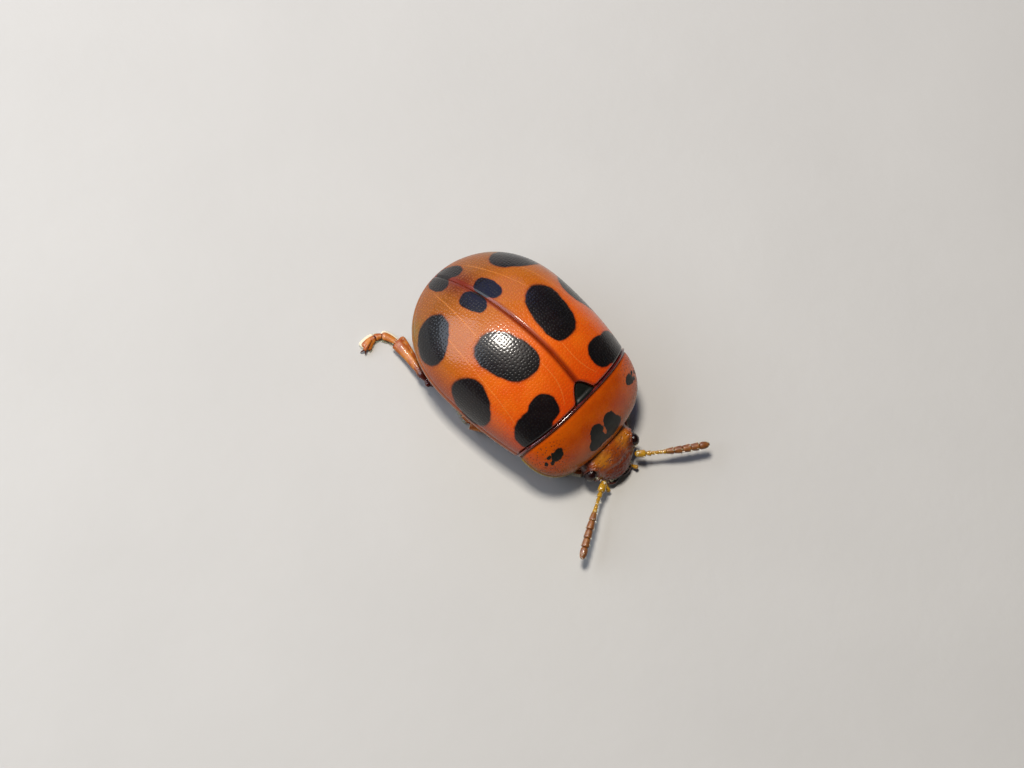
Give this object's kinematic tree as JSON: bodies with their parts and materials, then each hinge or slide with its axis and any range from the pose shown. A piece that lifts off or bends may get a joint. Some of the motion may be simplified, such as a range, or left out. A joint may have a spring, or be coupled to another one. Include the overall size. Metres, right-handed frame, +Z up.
{
  "type": "leaf beetle",
  "caption": "Life-size still model of a domed, spotted leaf beetle that mimics a ladybird, standing level on its feet with its feelers spread.",
  "frame": {"origin": "on the floor under the middle of the beetle's bounding box", "axes": "+Y towards the tail, so the head faces -Y; +X to the beetle's own left; +Z up"},
  "size_m": [0.0068, 0.0114, 0.0041],
  "materials": {
    "wing_case": "hard glossy insect cuticle, finely punctured, orange-red with near-black spots",
    "pronotum": "glossy translucent cuticle, orange-brown with a dark rear rim and dark spots",
    "black_shell": "glossy near-black cuticle",
    "head": "punctured orange-brown cuticle with short pale hairs",
    "eye": "wet-looking dark brown facets",
    "antenna": "amber beads with short pale bristles",
    "leg": "reddish amber cuticle, grooved shins, pale pads under the feet",
    "underside": "brown cuticle with fine punctures"
  },
  "bodies": {
    "root": {"abdomen": "underside", "antenna_left": "antenna", "antenna_right": "antenna", "elytron_left": "wing_case", "elytron_right": "wing_case", "eye_left": "eye", "eye_right": "eye", "fore_left_coxa": "leg", "fore_left_femur": "leg", "fore_left_tarsus": "leg", "fore_left_tibia": "leg", "fore_right_coxa": "leg", "fore_right_femur": "leg", "fore_right_tarsus": "leg", "fore_right_tibia": "leg", "head": "head", "hind_left_coxa": "leg", "hind_left_femur": "leg", "hind_left_tarsus": "leg", "hind_left_tibia": "leg", "hind_right_coxa": "leg", "hind_right_femur": "leg", "hind_right_tarsus": "leg", "hind_right_tibia": "leg", "mid_left_coxa": "leg", "mid_left_femur": "leg", "mid_left_tarsus": "leg", "mid_left_tibia": "leg", "mid_right_coxa": "leg", "mid_right_femur": "leg", "mid_right_tarsus": "leg", "mid_right_tibia": "leg", "mouthparts": "head", "pronotum": "pronotum", "prosternum": "underside", "scutellum": "black_shell", "thorax": "underside"}
  },
  "joints": []
}
